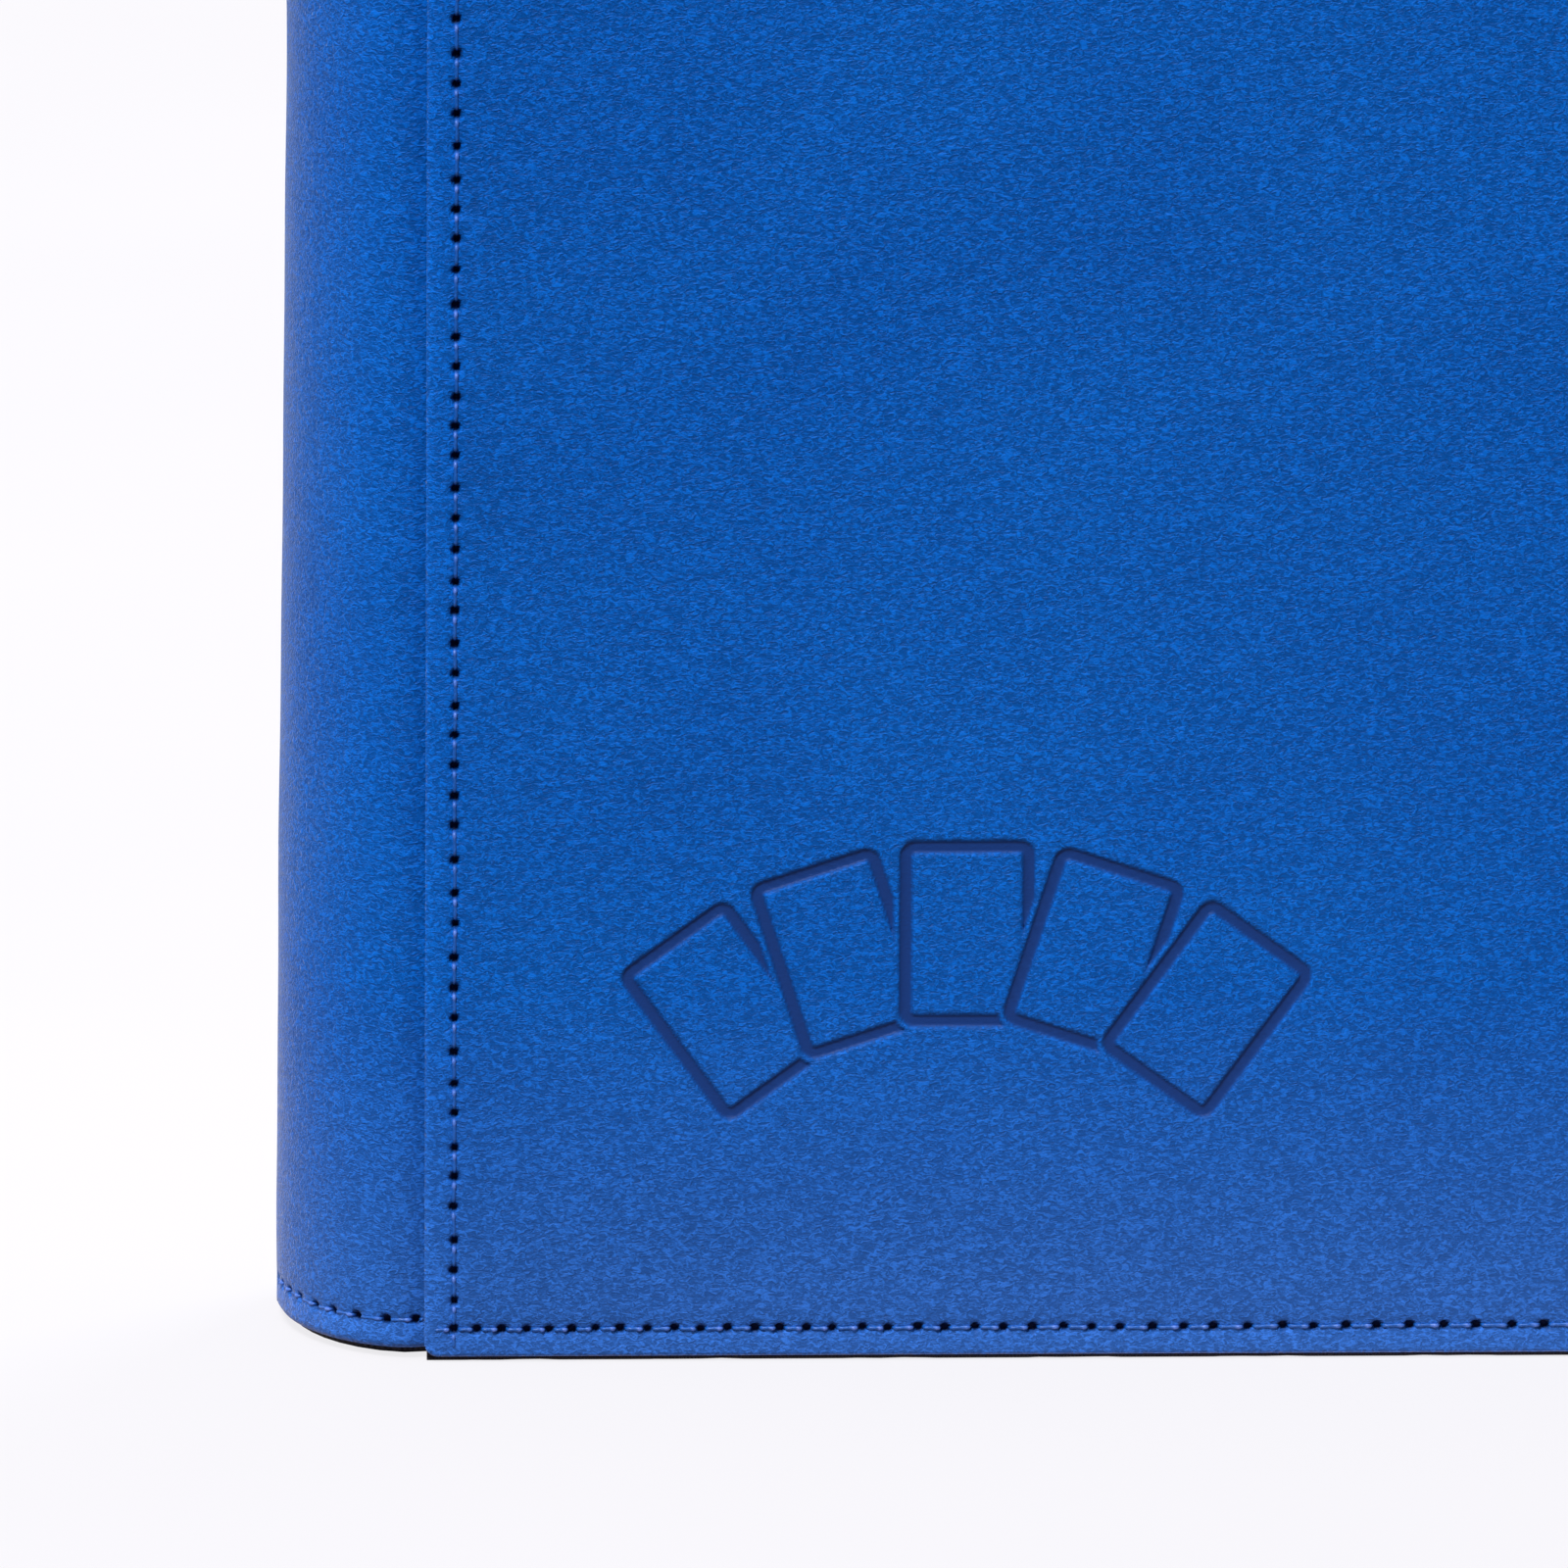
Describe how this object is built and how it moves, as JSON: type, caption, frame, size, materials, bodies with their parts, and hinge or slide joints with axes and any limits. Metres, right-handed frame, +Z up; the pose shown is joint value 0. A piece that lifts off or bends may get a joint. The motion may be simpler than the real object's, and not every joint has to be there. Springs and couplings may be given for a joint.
{
  "type": "trading card binder",
  "caption": "Zip-up trading card binder: rounded stitched leather spine, two hinged padded covers, a zip round three sides and side-loading pocket pages.",
  "frame": {"origin": "middle of the bottom of the closed binder's box, on the surface that it stands on", "axes": "+Z up along the spine, +X from the spine to the fore edge, +Y from the front cover to the back cover"},
  "size_m": [0.271, 0.05, 0.345],
  "materials": {
    "leather": "blue grained synthetic leather, satin",
    "tape": "black woven zip tape",
    "coil": "black nylon coil",
    "metal": "black enamelled zip metal",
    "foam": "black foam padding",
    "board": "black-faced board stiffener",
    "lining": "black woven lining",
    "page": "clear pockets over a black backing sheet"
  },
  "bodies": {
    "spine": {"spine_leather": "leather", "spine_backing": "lining", "spine_foam": "foam", "spine_board": "board", "spine_lining": "lining", "page_binding_strip": "tape", "zip_end_tab_top": "tape", "zip_end_tab_bottom": "tape"},
    "front_cover": {"front_cover_leather": "leather", "front_cover_foam": "foam", "front_cover_board": "board", "front_cover_lining": "lining", "front_zip_tape": "tape", "front_zip_coil": "coil"},
    "back_cover": {"back_cover_leather": "leather", "back_cover_foam": "foam", "back_cover_board": "board", "back_cover_lining": "lining", "back_zip_tape": "tape", "back_zip_coil": "coil"},
    "zip_slider": {"zip_slider": "metal", "zip_slider_crown": "metal"},
    "zip_pull": {"zip_pull_ring": "metal", "zip_pull_tab": "leather"},
    "page_01": {"page_01": "page"},
    "page_02": {"page_02": "page"},
    "page_03": {"page_03": "page"},
    "page_04": {"page_04": "page"},
    "page_05": {"page_05": "page"},
    "page_06": {"page_06": "page"},
    "page_07": {"page_07": "page"},
    "page_08": {"page_08": "page"},
    "page_09": {"page_09": "page"},
    "page_10": {"page_10": "page"},
    "page_11": {"page_11": "page"},
    "page_12": {"page_12": "page"},
    "page_13": {"page_13": "page"},
    "page_14": {"page_14": "page"},
    "page_15": {"page_15": "page"},
    "page_16": {"page_16": "page"},
    "page_17": {"page_17": "page"},
    "page_18": {"page_18": "page"},
    "page_19": {"page_19": "page"},
    "page_20": {"page_20": "page"}
  },
  "joints": [
    {"name": "front_cover_open", "type": "hinge", "parent": "spine", "child": "front_cover", "pos_m": [-0.1195, -0.025, 0], "axis": [0, 0, -1], "range_deg": [0, 95]},
    {"name": "back_cover_open", "type": "hinge", "parent": "spine", "child": "back_cover", "pos_m": [-0.1195, 0.025, 0], "axis": [0, 0, 1], "range_deg": [0, 95]},
    {"name": "zip_slider_travel", "type": "slide", "parent": "spine", "child": "zip_slider", "axis": [1, 0, 0], "range_m": [0, 0.215]},
    {"name": "zip_pull_flip", "type": "hinge", "parent": "zip_slider", "child": "zip_pull", "pos_m": [-0.102, 0, 0.341], "axis": [0, -1, 0], "range_deg": [0, 150]},
    {"name": "page_01_turn", "type": "hinge", "parent": "spine", "child": "page_01", "pos_m": [-0.1137, -0.00903, 0], "axis": [0, 0, -1], "range_deg": [0, 71.75]},
    {"name": "page_02_turn", "type": "hinge", "parent": "spine", "child": "page_02", "pos_m": [-0.1137, -0.00808, 0], "axis": [0, 0, -1], "range_deg": [0, 64.62]},
    {"name": "page_03_turn", "type": "hinge", "parent": "spine", "child": "page_03", "pos_m": [-0.1137, -0.00713, 0], "axis": [0, 0, -1], "range_deg": [0, 57.5]},
    {"name": "page_04_turn", "type": "hinge", "parent": "spine", "child": "page_04", "pos_m": [-0.1137, -0.00617, 0], "axis": [0, 0, -1], "range_deg": [0, 50.38]},
    {"name": "page_05_turn", "type": "hinge", "parent": "spine", "child": "page_05", "pos_m": [-0.1137, -0.00522, 0], "axis": [0, 0, -1], "range_deg": [0, 43.25]},
    {"name": "page_06_turn", "type": "hinge", "parent": "spine", "child": "page_06", "pos_m": [-0.1137, -0.00428, 0], "axis": [0, 0, -1], "range_deg": [0, 36.12]},
    {"name": "page_07_turn", "type": "hinge", "parent": "spine", "child": "page_07", "pos_m": [-0.1137, -0.00332, 0], "axis": [0, 0, -1], "range_deg": [0, 29]},
    {"name": "page_08_turn", "type": "hinge", "parent": "spine", "child": "page_08", "pos_m": [-0.1137, -0.00237, 0], "axis": [0, 0, -1], "range_deg": [0, 21.88]},
    {"name": "page_09_turn", "type": "hinge", "parent": "spine", "child": "page_09", "pos_m": [-0.1137, -0.00143, 0], "axis": [0, 0, -1], "range_deg": [0, 14.75]},
    {"name": "page_10_turn", "type": "hinge", "parent": "spine", "child": "page_10", "pos_m": [-0.1137, -0.00047, 0], "axis": [0, 0, -1], "range_deg": [0, 7.62]},
    {"name": "page_11_turn", "type": "hinge", "parent": "spine", "child": "page_11", "pos_m": [-0.1137, 0.00047, 0], "axis": [0, 0, 1], "range_deg": [0, 7.62]},
    {"name": "page_12_turn", "type": "hinge", "parent": "spine", "child": "page_12", "pos_m": [-0.1137, 0.00143, 0], "axis": [0, 0, 1], "range_deg": [0, 14.75]},
    {"name": "page_13_turn", "type": "hinge", "parent": "spine", "child": "page_13", "pos_m": [-0.1137, 0.00237, 0], "axis": [0, 0, 1], "range_deg": [0, 21.88]},
    {"name": "page_14_turn", "type": "hinge", "parent": "spine", "child": "page_14", "pos_m": [-0.1137, 0.00332, 0], "axis": [0, 0, 1], "range_deg": [0, 29]},
    {"name": "page_15_turn", "type": "hinge", "parent": "spine", "child": "page_15", "pos_m": [-0.1137, 0.00428, 0], "axis": [0, 0, 1], "range_deg": [0, 36.12]},
    {"name": "page_16_turn", "type": "hinge", "parent": "spine", "child": "page_16", "pos_m": [-0.1137, 0.00522, 0], "axis": [0, 0, 1], "range_deg": [0, 43.25]},
    {"name": "page_17_turn", "type": "hinge", "parent": "spine", "child": "page_17", "pos_m": [-0.1137, 0.00617, 0], "axis": [0, 0, 1], "range_deg": [0, 50.38]},
    {"name": "page_18_turn", "type": "hinge", "parent": "spine", "child": "page_18", "pos_m": [-0.1137, 0.00713, 0], "axis": [0, 0, 1], "range_deg": [0, 57.5]},
    {"name": "page_19_turn", "type": "hinge", "parent": "spine", "child": "page_19", "pos_m": [-0.1137, 0.00808, 0], "axis": [0, 0, 1], "range_deg": [0, 64.62]},
    {"name": "page_20_turn", "type": "hinge", "parent": "spine", "child": "page_20", "pos_m": [-0.1137, 0.00903, 0], "axis": [0, 0, 1], "range_deg": [0, 71.75]}
  ],
  "couplings": [
    {"joint": "page_01_turn", "follows": "front_cover_open", "ratio": 0.75},
    {"joint": "page_02_turn", "follows": "front_cover_open", "ratio": 0.675},
    {"joint": "page_03_turn", "follows": "front_cover_open", "ratio": 0.6},
    {"joint": "page_04_turn", "follows": "front_cover_open", "ratio": 0.525},
    {"joint": "page_05_turn", "follows": "front_cover_open", "ratio": 0.45},
    {"joint": "page_06_turn", "follows": "front_cover_open", "ratio": 0.375},
    {"joint": "page_07_turn", "follows": "front_cover_open", "ratio": 0.3},
    {"joint": "page_08_turn", "follows": "front_cover_open", "ratio": 0.225},
    {"joint": "page_09_turn", "follows": "front_cover_open", "ratio": 0.15},
    {"joint": "page_10_turn", "follows": "front_cover_open", "ratio": 0.075},
    {"joint": "page_11_turn", "follows": "back_cover_open", "ratio": 0.075},
    {"joint": "page_12_turn", "follows": "back_cover_open", "ratio": 0.15},
    {"joint": "page_13_turn", "follows": "back_cover_open", "ratio": 0.225},
    {"joint": "page_14_turn", "follows": "back_cover_open", "ratio": 0.3},
    {"joint": "page_15_turn", "follows": "back_cover_open", "ratio": 0.375},
    {"joint": "page_16_turn", "follows": "back_cover_open", "ratio": 0.45},
    {"joint": "page_17_turn", "follows": "back_cover_open", "ratio": 0.525},
    {"joint": "page_18_turn", "follows": "back_cover_open", "ratio": 0.6},
    {"joint": "page_19_turn", "follows": "back_cover_open", "ratio": 0.675},
    {"joint": "page_20_turn", "follows": "back_cover_open", "ratio": 0.75}
  ]
}
